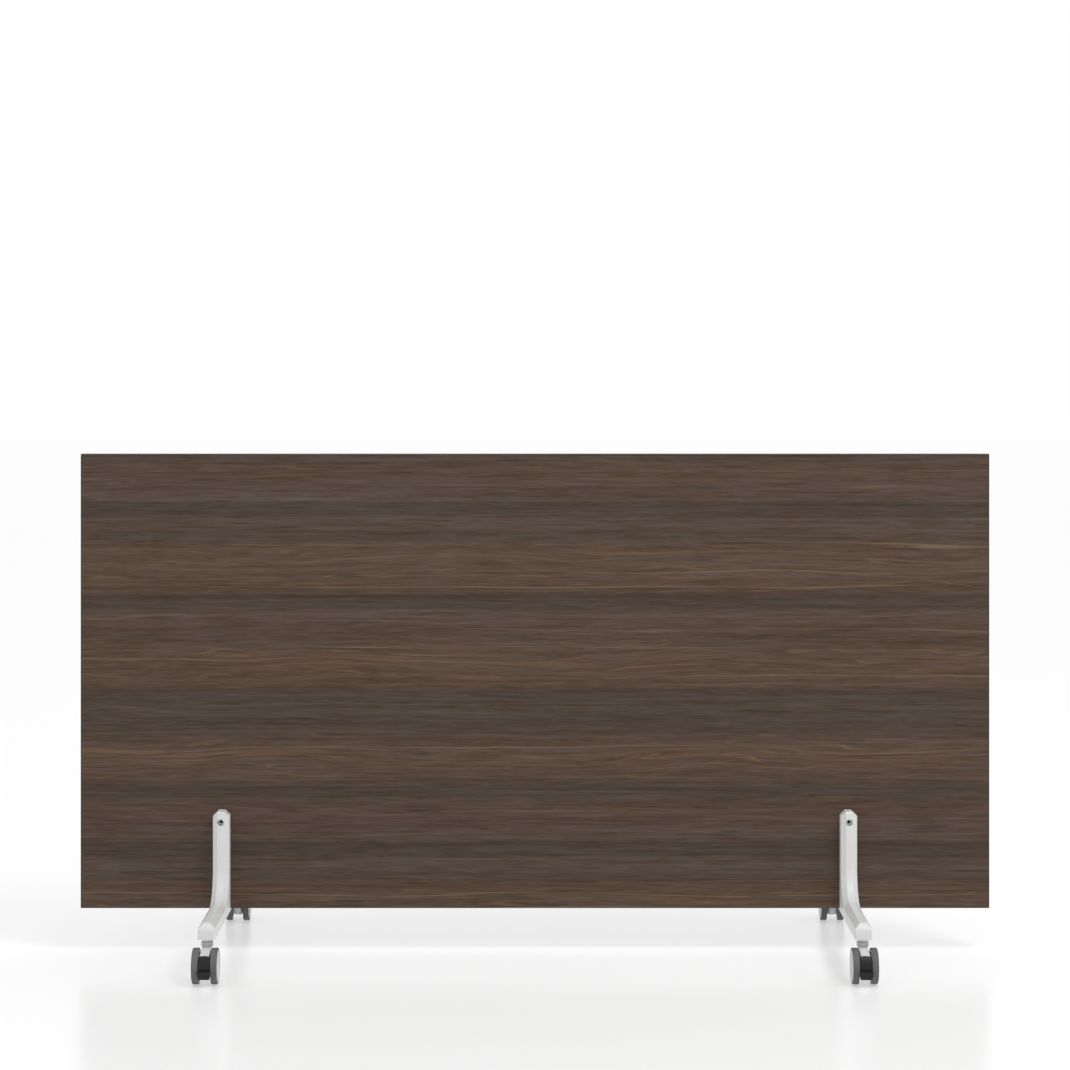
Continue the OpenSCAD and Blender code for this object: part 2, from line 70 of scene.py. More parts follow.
MM = 0.001
Node = bpy.types.Node
Piece = bpy.types.Object
Socket = bpy.types.NodeSocket
Sockets = bpy.types.NodeOutputs
Colour = tuple[float, float, float, float]
WHITE: Colour = (1.0, 1.0, 1.0, 1.0)


def tone(*levels: int) -> Colour:
    """Turns red, green and blue as they are seen on a screen, from 0 to 255, into a shader's linear colour."""
    shares = (level / 255 for level in levels)
    return *(share / 12.92 if share <= 0.04045 else ((share + 0.055) / 1.055) ** 2.4 for share in shares), 1.0


class Graph:
    """Adds and links the nodes of one node tree.

    Attributes:
        MIX_INPUTS: Places of a Mix node's share and colours among its inputs.
        MIX_OUTPUT: Place of its mixed colour.
    """

    MIX_INPUTS: ClassVar[tuple[int, int, int]] = (0, 6, 7)
    MIX_OUTPUT: ClassVar[int] = 2

    def __init__(self, tree: bpy.types.NodeTree) -> None:
        """Takes the tree that the nodes go into."""
        self.tree = tree

    def node(self, kind: str, **settings: object) -> Node:
        """Adds a node.

        Args:
            kind: Blender's name of the node type.
            **settings: Properties of the node, by name.

        Returns:
            The new node.
        """
        made = self.tree.nodes.new(kind)
        for key, value in settings.items():
            setattr(made, key, value)
        return made

    def feed(self, socket: Socket, value: object) -> None:
        """Links another socket into this one, or sets its plain value."""
        if isinstance(value, bpy.types.NodeSocket):
            self.tree.links.new(value, socket)
        else:
            socket.default_value = value

    def give(self, node: Node, *values: object, **named: object) -> Node:
        """Feeds the inputs of a node with sockets or plain values.

        Args:
            node: The node.
            *values: What its first inputs get, in order.
            **named: What other inputs get, by their names with _ for a space.

        Returns:
            The same node.
        """
        sockets = (*node.inputs[:len(values)], *(node.inputs[key.replace("_", " ")] for key in named))
        for socket, value in zip(sockets, (*values, *named.values())):
            self.feed(socket, value)
        return node

    def maths(self, operation: str, *values: object) -> Socket:
        """Adds a Math node of the given operation on sockets and numbers, and returns its result."""
        return self.give(self.node("ShaderNodeMath", operation=operation), *values).outputs[0]

    def times(self, first: object, second: object) -> Socket:
        """Multiplies two sockets or numbers."""
        return self.maths("MULTIPLY", first, second)

    def total(self, *values: object) -> Socket:
        """Adds up sockets and numbers, from the first to the last."""
        return reduce(lambda result, value: self.maths("ADD", result, value), values)

    def sway(self, value: Socket, amount: object) -> Socket:
        """Turns a noise around 0.5 into a swing around zero of the given size."""
        return self.times(self.maths("SUBTRACT", value, 0.5), amount)

    def band(self, value: Socket, low: float, high: float) -> Socket:
        """Maps the range from low to high onto 0 to 1, with soft ends."""
        made = self.node("ShaderNodeMapRange", interpolation_type="SMOOTHSTEP")
        return self.give(made, Value=value, From_Min=low, From_Max=high).outputs["Result"]

    def place(self, x: object, y: object, z: object) -> Socket:
        """Joins three values into a vector."""
        return self.give(self.node("ShaderNodeCombineXYZ"), x, y, z).outputs[0]

    def scale(self, vector: Socket, factors: object) -> Socket:
        """Multiplies a vector by another, value by value."""
        return self.give(self.node("ShaderNodeVectorMath", operation="MULTIPLY"), vector, factors).outputs[0]

    def split(self, vector: Socket) -> tuple[Socket, Socket, Socket]:
        """Splits a vector into its three values."""
        made = self.give(self.node("ShaderNodeSeparateXYZ"), vector)
        return made.outputs[0], made.outputs[1], made.outputs[2]

    def noise(self, vector: object, scale: object, detail: float = 2.0, roughness: float = 0.5) -> Socket:
        """Adds a Noise Texture of scale features per metre and returns it, from 0 to 1."""
        made = self.node("ShaderNodeTexNoise")
        return self.give(made, Vector=vector, Scale=scale, Detail=detail, Roughness=roughness).outputs["Fac"]

    def mix(self, share: Socket, first: Socket, second: Socket) -> Socket:
        """Mixes two shaders by the share of the second."""
        return self.give(self.node("ShaderNodeMixShader"), share, first, second).outputs[0]

    def blend(self, share: object, first: object, second: object) -> Socket:
        """Mixes two colours.

        Args:
            share: Share of the second colour.
            first: First colour.
            second: Second colour.

        Returns:
            The mixed colour.
        """
        made = self.node("ShaderNodeMix", data_type="RGBA")
        for place, value in zip(self.MIX_INPUTS, (share, first, second)):
            self.feed(made.inputs[place], value)
        return made.outputs[self.MIX_OUTPUT]

    def tint(self, colour: Socket, swing: Socket, steps: tuple[float, float, float]) -> Socket:
        """Scales a colour up and down, by a step of its own in each channel.

        Args:
            colour: The colour.
            swing: How far it swings, around zero.
            steps: Step of red, green and blue for a swing of one.

        Returns:
            The changed colour.
        """
        made = self.node("ShaderNodeVectorMath", operation="MULTIPLY_ADD")
        return self.scale(colour, self.give(made, swing, steps, (1.0, 1.0, 1.0)).outputs[0])

    def ramp(self, value: Socket, stops: list[tuple[float, Colour]]) -> Socket:
        """Adds a Color Ramp with the given stops.

        Args:
            value: What is looked up.
            stops: Place and colour of each stop, in order.

        Returns:
            The colour.
        """
        made = self.give(self.node("ShaderNodeValToRGB"), value)
        row = made.color_ramp.elements
        row[0].position, row[0].color = stops[0]
        row[1].position, row[1].color = stops[-1]
        for position, colour in stops[1:-1]:
            row.new(position).color = colour
        return made.outputs["Color"]

    def group(self, tree: bpy.types.NodeTree, **values: object) -> Node:
        """Places a node group and feeds its inputs by their names."""
        return self.give(self.node("ShaderNodeGroup", node_tree=tree), **values)


class Effect:
    """A shader node group with named sockets, built once and used in several materials.

    Attributes:
        name: Name of the group.
        inputs: Names of its inputs.
        outputs: Names of its outputs.
        KINDS: Kinds of the sockets that aren't plain numbers.
    """

    name = "effect"
    inputs: tuple[str, ...] = ()
    outputs: tuple[str, ...] = ()
    KINDS: ClassVar[dict[str, str]] = {"Vector": "NodeSocketVector", "Color": "NodeSocketColor"}

    def tree(self) -> bpy.types.NodeTree:
        """Returns the group, which it builds when it is first asked for."""
        made = bpy.data.node_groups.get(self.name)
        if made is None:
            made = bpy.data.node_groups.new(self.name, "ShaderNodeTree")
            for way, labels in (("INPUT", self.inputs), ("OUTPUT", self.outputs)):
                for label in labels:
                    made.interface.new_socket(label, in_out=way, socket_type=self.KINDS.get(label, "NodeSocketFloat"))
            graph = Graph(made)
            self.fill(graph, graph.node("NodeGroupInput").outputs, graph.node("NodeGroupOutput"))
        return made

    def fill(self, graph: Graph, given: Sockets, result: Node) -> None:
        """Builds the inside of the group.

        Args:
            graph: Where the nodes go.
            given: The group's inputs, as sockets that other nodes read.
            result: The node that takes the group's outputs.
        """
        raise NotImplementedError


@dataclass(frozen=True)
class Eye:
    """A swelling in the grain, round which the year lines part.

    Attributes:
        x: Place along the panel.
        z: Height above the floor.
        half_length: Half its length along the grain.
        half_height: Half its height across the grain.
        glow: How light and warm it is.
        side: Way that it pushes the lines, 1 or -1.
    """

    x: float
    z: float
    half_length: float
    half_height: float
    glow: float
    side: int = 1

    def draw(self, graph: Graph, x: Socket, z: Socket) -> tuple[Socket, Socket]:
        """Places the eye and returns how far it pushes the lines, and its glow."""
        made = graph.group(EyeEffect().tree(), X=x, Z=z, Centre_X=self.x, Centre_Z=self.z, Half_Length=self.half_length,
                           Half_Height=self.half_height, Lift=self.side * self.half_height / 2, Glow=self.glow)
        return made.outputs["Push"], made.outputs["Glow"]


class EyeEffect(Effect):
    """Push and glow of one eye in the grain."""

    name = "grain_eye"
    inputs = ("X", "Z", "Centre X", "Centre Z", "Half Length", "Half Height", "Lift", "Glow")
    outputs = ("Push", "Glow")

    def fill(self, graph: Graph, given: Sockets, result: Node) -> None:
        """Draws a soft ellipse."""
        along = graph.maths("DIVIDE", graph.maths("SUBTRACT", given["X"], given["Centre X"]), given["Half Length"])
        across = graph.maths("DIVIDE", graph.maths("SUBTRACT", given["Z"], given["Centre Z"]), given["Half Height"])
        square = graph.total(graph.times(along, along), graph.times(across, across))
        swell = graph.maths("EXPONENT", graph.times(square, -1.0))
        graph.give(result, Push=graph.times(swell, given["Lift"]), Glow=graph.times(swell, given["Glow"]))


class Wood(Enum):
    """Tones of the walnut print, from its dark veins to its light figure."""

    VEIN = tone(66, 50, 41)
    DARK = tone(69, 56, 48)
    DULL = tone(74, 61, 51)
    GREY = tone(79, 64, 55)
    MEDIUM = tone(76, 60, 51)
    WARM = tone(80, 62, 51)
    LIGHT = tone(82, 65, 54)
    HAIR = tone(48, 43, 36)
    FIGURE = tone(120, 92, 62)
    ORANGE = tone(108, 74, 54)
    LINE = tone(122, 104, 82)


@dataclass(frozen=True)
class Streak:
    """A noise that is drawn out along the grain.

    Attributes:
        along: Features per metre along the grain.
        across: Features per metre across the grain.
        seed: Slice of the noise that is read.
        detail: Number of finer octaves.
        roughness: How strong the finer octaves are.
        swing: How far it swings what it acts on.
    """

    along: float
    across: float
    seed: float
    detail: float = 2.0
    roughness: float = 0.5
    swing: float = 1.0

    def draw(self, graph: Graph, x: Socket, level: Socket) -> Socket:
        """Adds the noise at the places x along and level across the grain."""
        place = graph.place(graph.times(x, self.along), self.seed, graph.times(level, self.across))
        return graph.noise(place, 1.0, self.detail, self.roughness)


@dataclass(frozen=True)
class Contours:
    """Thin lines that run along the grain, with a hook here and there.

    Attributes:
        along: Bends per metre along the grain.
        across: Bends per metre across the grain.
        rings: Lines per metre across the grain.
        swing: How far the bends shift a line, in lines.
        width: Half the width of a line, as a share of their distance.
        CORE: Share of that width that is at full strength.
        FINER: How much finer the breaks in a line are than its bends, along and across.
        WHOLE: Noise at which a line sets in and is whole.
        SEEDS: Slices of the noise for bends and breaks.
    """

    CORE: ClassVar[float] = 0.2
    FINER: ClassVar[tuple[float, float]] = (1.4, 1.25)
    WHOLE: ClassVar[tuple[float, float]] = (0.44, 0.56)
    SEEDS: ClassVar[tuple[float, float]] = (3.1, 6.4)

    along: float
    across: float
    rings: float
    swing: float
    width: float

    def draw(self, graph: Graph, x: Socket, lines: Socket) -> Socket:
        """Adds the lines.

        Args:
            graph: Where the nodes go.
            x: Place along the grain.
            lines: Place across the grain, bent round the eyes.

        Returns:
            The strength of the lines, from 0 to 1.
        """
        bends = Streak(self.along, self.across, self.SEEDS[0], 1.0).draw(graph, x, lines)
        breaks = Streak(self.FINER[0] * self.along, self.FINER[1] * self.across, self.SEEDS[1], 2.0, 0.6)
        phase = graph.total(graph.times(lines, self.rings), graph.sway(bends, self.swing))
        offset = graph.maths("ABSOLUTE", graph.maths("SUBTRACT", graph.maths("FRACT", phase), 0.5))
        line = graph.band(offset, self.width, self.CORE * self.width)
        return graph.times(line, graph.band(breaks.draw(graph, x, lines), *self.WHOLE))


class WalnutEffect(Effect):
    """Walnut print: tones in bands that repeat down the panel, streaks along it and eyes in it.

    Attributes:
        top: Height above the floor where the bands begin.
        repeat: Distance after which they repeat.
        bands: Shares of one repeat at which each tone is reached.
        accents: Shares of one repeat, with how lively, fiery and mossy the print is there.
        eyes: Swellings in the grain.
        slow, quick: Noises that shift the bands, in metres.
        fibre, long, patch, pores: Noises that lighten and darken the grain.
        hue: Noise that turns the grain warmer and cooler.
        strand, hair: Noises that the warm strands and the dark hairs follow.
        moss, warm, orange, dark: Noise at which each of these sets in and is whole, and its strength.
        figure, light: Lines of the light figure and the single light lines.
        lively_flame, glow_flame, lively_light: Strength of these lines in lively bands and in glowing eyes.
        light_steps, hue_steps, moss_steps: Steps of red, green and blue for light, hue and moss.
        eye_bend: Share of an eye's push that the bands follow.
    """

    name = "walnut_print"
    inputs = ("Vector", "Contrast")
    outputs = ("Color", "Relief", "Sheen")

    top = 0.9885
    repeat = 0.684
    bands = {
        Wood.VEIN: (0.417,),
        Wood.DARK: (0.001, 0.142, 0.182, 0.428, 0.452, 0.694, 0.79, 0.972),
        Wood.DULL: (0.013, 0.238, 0.253, 0.749),
        Wood.GREY: (0.115, 0.136, 0.191, 0.216, 0.463),
        Wood.MEDIUM: (0.032, 0.078, 0.411, 0.531),
        Wood.WARM: (0.06, 0.269, 0.391, 0.502, 0.687, 0.952),
        Wood.LIGHT: (0.303, 0.35, 0.596, 0.878),
    }
    accents = (
        (0.0, 0.3, 0.3, 0.2), (0.03, 0.4, 0.8, 0.0), (0.05, 0.5, 1.0, 0.0), (0.08, 0.4, 0.9, 0.0), (0.1, 0.4, 0.3, 0.3),
        (0.137, 0.2, 0.1, 0.5), (0.142, 0.3, 0.0, 1.0), (0.18, 0.3, 0.0, 1.0), (0.19, 0.3, 0.1, 0.3),
        (0.24, 0.2, 0.2, 0.2), (0.27, 1.0, 0.5, 0.3), (0.39, 1.0, 0.5, 0.3), (0.412, 0.2, 0.2, 0.5),
        (0.45, 0.3, 0.0, 0.9), (0.47, 0.3, 0.2, 0.4), (0.53, 0.6, 0.4, 0.4), (0.56, 1.0, 0.5, 0.5),
        (0.67, 1.0, 0.6, 0.3), (0.69, 0.2, 0.0, 0.6), (0.72, 0.3, 0.0, 0.8), (0.8, 0.3, 0.2, 0.4),
        (0.86, 1.0, 0.5, 0.3), (0.93, 1.0, 0.5, 0.3), (0.972, 0.3, 0.0, 0.6)
    )
    eyes = (
        Eye(-0.64, 0.783, 0.2, 0.016, 0.3), Eye(0.15, 0.8, 0.16, 0.018, 0.45), Eye(0.345, 0.788, 0.15, 0.016, 1.0, -1),
        Eye(0.84, 0.78, 0.15, 0.018, 0.3), Eye(-0.12, 0.79, 0.15, 0.016, 0.2, -1), Eye(-0.59, 0.592, 0.08, 0.012, 1.0),
        Eye(-0.4, 0.58, 0.18, 0.02, 0.5, -1), Eye(-0.23, 0.597, 0.12, 0.014, 0.85), Eye(0.01, 0.578, 0.2, 0.022, 0.45),
        Eye(0.34, 0.583, 0.15, 0.02, 0.4, -1), Eye(0.68, 0.57, 0.12, 0.014, 0.6), Eye(0.87, 0.592, 0.08, 0.012, 0.8),
        Eye(-0.8, 0.402, 0.18, 0.018, 1.0), Eye(-0.53, 0.398, 0.12, 0.014, 0.55, -1),
        Eye(-0.16, 0.385, 0.13, 0.016, 0.5), Eye(0.08, 0.385, 0.15, 0.022, 0.3), Eye(0.33, 0.398, 0.17, 0.022, 0.4, -1),
        Eye(0.64, 0.4, 0.2, 0.02, 1.0), Eye(0.39, 0.105, 0.15, 0.014, 0.75), Eye(-0.1, 0.11, 0.2, 0.014, 0.35, -1)
    )

    slow = Streak(1.3, 6.0, 0.0, swing=0.004)
    quick = Streak(7.0, 30.0, 0.3, swing=0.001)
    fibre = Streak(11.0, 165.0, 1.7, 2.0, 1.0, 1.5)
    long = Streak(1.1, 90.0, 4.4, 2.0, 1.0)
    patch = Streak(3.0, 28.0, 5.5, swing=0.08)
    pores = Streak(55.0, 1500.0, 2.2, 1.0, swing=0.2)
    hue = Streak(12.0, 120.0, 8.8, 2.0, 0.7, 0.25)
    strand = Streak(5.0, 150.0, 7.3, 1.0)
    hair = Streak(7.0, 150.0, 9.9, 1.0)
    moss = (0.52, 0.4, 1.0)
    warm = (0.42, 0.6, 0.42)
    orange = (0.58, 0.7, 0.28)
    dark = (0.37, 0.27, 0.5)
    figure = Contours(7.0, 55.0, 60.0, 1.9, 0.1)
    light = Contours(1.6, 32.0, 34.0, 1.2, 0.042)
    lively_flame, glow_flame, lively_light = 0.34, 0.3, 0.6
    light_steps = (0.74, 1.0, 1.44)
    hue_steps = (0.45, -0.1, -0.35)
    moss_steps = (-0.06, 0.03, -0.01)
    eye_bend = 0.2

    def fill(self, graph: Graph, given: Sockets, result: Node) -> None:
        """Lays the bands, bends the lines round the eyes and draws the streaks and pores."""
        x, y, z = graph.split(given["Vector"])
        shifts = [graph.sway(streak.draw(graph, x, z), streak.swing) for streak in (self.slow, self.quick)]
        push, glow = (graph.total(*shares) for shares in zip(*(eye.draw(graph, x, z) for eye in self.eyes)))
        level = graph.total(z, y, *shifts)
        lines = graph.total(level, push)

        shade_level = graph.total(level, graph.times(push, self.eye_bend))
        share = graph.maths("FRACT", graph.maths("DIVIDE", graph.maths("SUBTRACT", self.top, shade_level), self.repeat))
        base = graph.ramp(share, sorted((place, wood.value) for wood, places in self.bands.items() for place in places))
        accents = graph.ramp(share, [(place, (*levels, 1.0)) for place, *levels in self.accents])
        lively, fiery, mossy = graph.split(accents)

        fibre = self.fibre.draw(graph, x, lines)
        pores = self.pores.draw(graph, x, lines)
        hue = self.hue.draw(graph, x, lines)
        strand = self.strand.draw(graph, x, lines)
        swing = graph.total(
            graph.sway(fibre, self.fibre.swing), graph.sway(self.long.draw(graph, x, lines), self.long.swing),
            graph.sway(self.patch.draw(graph, x, z), self.patch.swing), graph.sway(pores, self.pores.swing))
        colour = graph.tint(base, graph.times(given["Contrast"], swing), self.light_steps)
        colour = graph.tint(colour, graph.sway(hue, self.hue.swing), self.hue_steps)
        colour = graph.tint(colour, self.veil(graph, hue, self.moss, mossy), self.moss_steps)

        figure = self.figure.draw(graph, x, lines)
        flame = graph.total(graph.times(lively, self.lively_flame), graph.times(glow, self.glow_flame))
        warm = graph.maths("MAXIMUM", self.veil(graph, strand, self.warm, glow), graph.times(figure, flame))
        orange = self.veil(graph, strand, self.orange, fiery)
        light = graph.times(self.light.draw(graph, x, lines), graph.times(lively, self.lively_light))
        dark = self.veil(graph, self.hair.draw(graph, x, lines), self.dark, 1.0)
        for share, wood in ((warm, Wood.FIGURE), (orange, Wood.ORANGE), (light, Wood.LINE), (dark, Wood.HAIR)):
            colour = graph.blend(share, colour, wood.value)

        graph.give(result, Color=colour, Relief=graph.times(graph.total(fibre, pores), 0.5), Sheen=fibre)

    @staticmethod
    def veil(graph: Graph, noise: Socket, levels: tuple[float, float, float], share: object) -> Socket:
        """Returns the share where the noise lies between two levels, at the strength that follows them."""
        return graph.times(graph.band(noise, *levels[:2]), graph.times(share, levels[2]))


class GrainEffect(Effect):
    """Fine skin of a coated or moulded surface: cells for the relief and clouds for the tone."""

    name = "fine_skin"
    inputs = ("Vector", "Cells", "Clouds")
    outputs = ("Relief", "Clouds")

    def fill(self, graph: Graph, given: Sockets, result: Node) -> None:
        """Mixes a fine and a coarse noise."""
        graph.give(result, Relief=graph.noise(given["Vector"], given["Cells"], 2.0, 0.55),
                   Clouds=graph.noise(given["Vector"], given["Clouds"], 3.0, 0.5))


class ScuffEffect(Effect):
    """Fine scratches and rubbed places, as handling and rolling leave them.

    Attributes:
        scratches: Factors along X, Y and Z that draw out each kind, and the noise at which it sets in and is whole.
        patches: Rubbed places per metre.
        rubbed: Noise at which they set in and are whole.
    """

    name = "scuffs"
    inputs = ("Vector", "Scale")
    outputs = ("Scuffs", "Rubbed")
    scratches = (((0.2, 6.0, 1.0), (0.64, 0.74)), ((5.0, 1.0, 0.25), (0.66, 0.76)))
    patches = 28.0
    rubbed = (0.48, 0.66)

    def fill(self, graph: Graph, given: Sockets, result: Node) -> None:
        """Draws stretched noise in two directions inside soft patches."""
        lines = [graph.band(graph.noise(graph.scale(given["Vector"], factors), given["Scale"]), *whole)
                 for factors, whole in self.scratches]
        rubbed = graph.band(graph.noise(given["Vector"], self.patches, 3.0, 0.6), *self.rubbed)
        graph.give(result, Scuffs=graph.times(graph.maths("MAXIMUM", *lines), rubbed), Rubbed=rubbed)


class Grain(Enum):
    """Way that the grain of an edge band runs."""

    ALONG = (0.0, 0.0, 0.0)
    UPRIGHT = (0.0, math.pi / 2, 0.0)


@dataclass(frozen=True)
class Finish:
    """What every finish has: a name and a way to build its material.

    Attributes:
        name: Name of the material.
        slot: Material slot of the record that it belongs to; not used.
    """

    name: str
    slot: str

    def material(self) -> bpy.types.Material:
        """Returns the material, which it builds when it is first asked for."""
        made = bpy.data.materials.get(self.name)
        if made is None:
            made = bpy.data.materials.new(self.name)
            made.use_nodes = True
            graph = Graph(made.node_tree)
            place = graph.node("ShaderNodeTexCoord").outputs["Object"]
            self.shade(graph, made.node_tree.nodes["Principled BSDF"], place)
        return made

    def shade(self, graph: Graph, shader: Node, place: Socket) -> None:
        """Feeds the shader.

        Args:
            graph: Where the nodes go.
            shader: The Principled BSDF.
            place: Object coordinates in metres.
        """
        raise NotImplementedError

    @staticmethod
    def coat(graph: Graph, shader: Node, height: Socket, depth: float, **values: object) -> None:
        """Feeds the shader with values by name and with a height, as a bump of the given depth in metres."""
        bump = graph.give(graph.node("ShaderNodeBump"), Strength=1.0, Distance=depth, Height=height)
        graph.give(shader, Normal=bump.outputs["Normal"], **values)


@dataclass(frozen=True)
class WalnutFinish(Finish):
    """Satin walnut-look laminate or edge band.

    Attributes:
        grain: Way that the grain runs.
        contrast: Strength of the streaks.
        gloss_low: Roughness of the smooth streaks.
        gloss_high: Roughness of the open ones.
        level: Specular level.
        depth: Depth of the relief in metres.
    """

    grain: Grain = Grain.ALONG
    contrast: float = 1.0
    gloss_low: float = 0.42
    gloss_high: float = 0.56
    level: float = 0.22
    depth: float = 0.04 * MM

    def shade(self, graph: Graph, shader: Node, place: Socket) -> None:
        """Feeds the print's colour, gloss and relief."""
        mapping = graph.give(graph.node("ShaderNodeMapping"), Rotation=self.grain.value, Vector=place)
        printed = graph.group(WalnutEffect().tree(), Vector=mapping.outputs[0], Contrast=self.contrast)
        span = self.gloss_high - self.gloss_low
        rough = graph.maths("MULTIPLY_ADD", printed.outputs["Sheen"], span, self.gloss_low)
        self.coat(graph, shader, printed.outputs["Relief"], self.depth,
                  Base_Color=printed.outputs["Color"], Roughness=rough, Specular_IOR_Level=self.level)


@dataclass(frozen=True)
class SkinFinish(Finish):
    """Powder coat, moulded plastic or rubber: one colour with faint clouds and a fine skin.

    Attributes:
        colour: Main colour.
        clouded: Colour of the faint clouds.
        rough: Mean roughness.
        cells: Relief cells per metre.
        depth: Depth of the relief in metres.
        level: Specular level.
        worn: Share of the scuffs that show.
        CLOUDS: Clouds per metre.
        SCUFFS: Scuffs per metre.
        RUBBED: Colour of a scuff.
    """

    CLOUDS: ClassVar[float] = 14.0
    SCUFFS: ClassVar[float] = 150.0
    RUBBED: ClassVar[Colour] = tone(200, 200, 198)

    colour: Colour
    clouded: Colour
    rough: float
    cells: float
    depth: float
    level: float = 0.5
    worn: float = 0.1

    def shade(self, graph: Graph, shader: Node, place: Socket) -> None:
        """Feeds clouds, scuffs and the skin's relief."""
        skin = graph.group(GrainEffect().tree(), Vector=place, Cells=self.cells, Clouds=self.CLOUDS)
        scuffs = graph.group(ScuffEffect().tree(), Vector=place, Scale=self.SCUFFS)
        colour = graph.blend(graph.band(skin.outputs["Clouds"], 0.3, 0.7), self.colour, self.clouded)
        colour = graph.blend(graph.times(scuffs.outputs["Scuffs"], self.worn), colour, self.RUBBED)
        rough = graph.total(self.rough - 0.04, graph.times(skin.outputs["Clouds"], 0.08),
                            graph.times(scuffs.outputs["Rubbed"], 0.05))
        self.coat(graph, shader, skin.outputs["Relief"], self.depth,
                  Base_Color=colour, Roughness=rough, Specular_IOR_Level=self.level)


@dataclass(frozen=True)
class MetalFinish(Finish):
    """Plated or turned metal with fine scratches.

    Attributes:
        colour: Colour of the clean metal.
        stained: Colour of its duller places.
        rough: Mean roughness.
        depth: Depth of the scratches in metres.
        SCRATCHES: Scratches per metre.
        CELLS: Relief cells per metre.
        CLOUDS: Clouds per metre.
    """

    SCRATCHES: ClassVar[float] = 260.0
    CELLS: ClassVar[float] = 1400.0
    CLOUDS: ClassVar[float] = 45.0

    colour: Colour
    stained: Colour
    rough: float
    depth: float

    def shade(self, graph: Graph, shader: Node, place: Socket) -> None:
        """Feeds stains and scratches."""
        scuffs = graph.group(ScuffEffect().tree(), Vector=place, Scale=self.SCRATCHES)
        skin = graph.group(GrainEffect().tree(), Vector=place, Cells=self.CELLS, Clouds=self.CLOUDS)
        colour = graph.blend(graph.band(skin.outputs["Clouds"], 0.35, 0.7), self.colour, self.stained)
        rough = graph.total(self.rough - 0.05, graph.times(skin.outputs["Relief"], 0.1),
                            graph.times(scuffs.outputs["Scuffs"], 0.15))
        height = graph.maths("SUBTRACT", skin.outputs["Relief"], scuffs.outputs["Scuffs"])
        self.coat(graph, shader, height, self.depth, Base_Color=colour, Roughness=rough, Metallic=1.0)


@dataclass(frozen=True)
class BoardFinish(Finish):
    """Particle board, seen only where a hole opens it.

    Attributes:
        light: Colour of the light chips.
        dark: Colour of the dark chips.
        CHIPS: Chips per metre.
        DEPTH: Depth of the chips in metres.
    """

    CHIPS: ClassVar[float] = 420.0
    DEPTH: ClassVar[float] = 0.2 * MM

    light: Colour
    dark: Colour

    def shade(self, graph: Graph, shader: Node, place: Socket) -> None:
        """Feeds chips of mixed tones."""
        chips = graph.give(graph.node("ShaderNodeTexVoronoi"), Scale=self.CHIPS, Vector=place)
        pick = graph.split(chips.outputs["Color"])[0]
        colour = graph.blend(pick, self.light, self.dark)
        rough = graph.total(0.75, graph.times(pick, 0.1))
        self.coat(graph, shader, chips.outputs["Distance"], self.DEPTH, Base_Color=colour, Roughness=rough)


LAMINATE = WalnutFinish("satin_walnut_print", "walnut_laminate")
BAND_ALONG = WalnutFinish("walnut_band_along", "walnut_edge", Grain.ALONG, 0.6, 0.4, 0.5)
BAND_UPRIGHT = WalnutFinish("walnut_band_upright", "walnut_edge", Grain.UPRIGHT, 0.6, 0.4, 0.5)
BOARD = BoardFinish("particle_board", "core_board", tone(196, 168, 128), tone(140, 108, 74))
LEG_PAINT = SkinFinish(
    "silver_powder_coat", "leg_paint", tone(218, 219, 218), tone(215, 216, 215), 0.36, 1500.0, 0.03 * MM, 0.5, 0.04)
FORK_PLASTIC = SkinFinish(
    "pale_nylon", "caster_plastic", tone(217, 218, 216), tone(211, 212, 210), 0.42, 900.0, 0.02 * MM, 0.45, 0.06)
HUB_PLASTIC = SkinFinish(
    "grey_nylon", "caster_plastic", tone(198, 200, 198), tone(192, 194, 193), 0.42, 900.0, 0.02 * MM, 0.45, 0.06)
TYRE_RUBBER = SkinFinish(
    "tread_rubber", "tyre_rubber", tone(99, 100, 101), tone(90, 91, 92), 0.62, 1100.0, 0.05 * MM, 0.35, 0.08)
BLACK_PLASTIC = SkinFinish(
    "black_nylon", "black_plastic", tone(32, 32, 33), tone(27, 27, 28), 0.40, 1300.0, 0.04 * MM, 0.25, 0.03)
SCREW_COAT = SkinFinish(
    "screw_coat", "steel", tone(238, 239, 237), tone(230, 231, 229), 0.34, 1500.0, 0.02 * MM)
# Painted shade: a near-black colour on the sockets' inner faces that stands for the shade deep inside each hexagon
# socket.
SOCKET_SHADE = SkinFinish(
    "painted_socket_shade", "steel", tone(16, 16, 17), tone(12, 12, 12), 0.55, 1500.0, 0.02 * MM, 0.2, 0.02)
STEEL = MetalFinish("zinc_plated_steel", "steel", tone(196, 198, 200), tone(178, 180, 182), 0.32, 0.02 * MM)
CAP_METAL = MetalFinish("satin_grey_metal", "swivel_metal", tone(197, 198, 199), tone(189, 190, 192), 0.60, 0.02 * MM)


@dataclass(frozen=True)
class Softness:
    """How the edges of a piece are broken.

    Attributes:
        radius: Width of the rounding in metres.
        segments: Facets across it.
        crease: Smallest angle, in degrees, of an edge that is rounded.
    """

    radius: float
    segments: int = 2
    crease: float = 30.0


@dataclass(frozen=True)
class Nose(Softness):
    """Larger rounding of the far ends of a piece.

    Attributes:
        reach: Distance in front of and behind the middle of the panel, past which edges are rounded.
        under: Height up to which edges stay sharp.
    """

    reach: float = 0.0
    under: float = 0.0


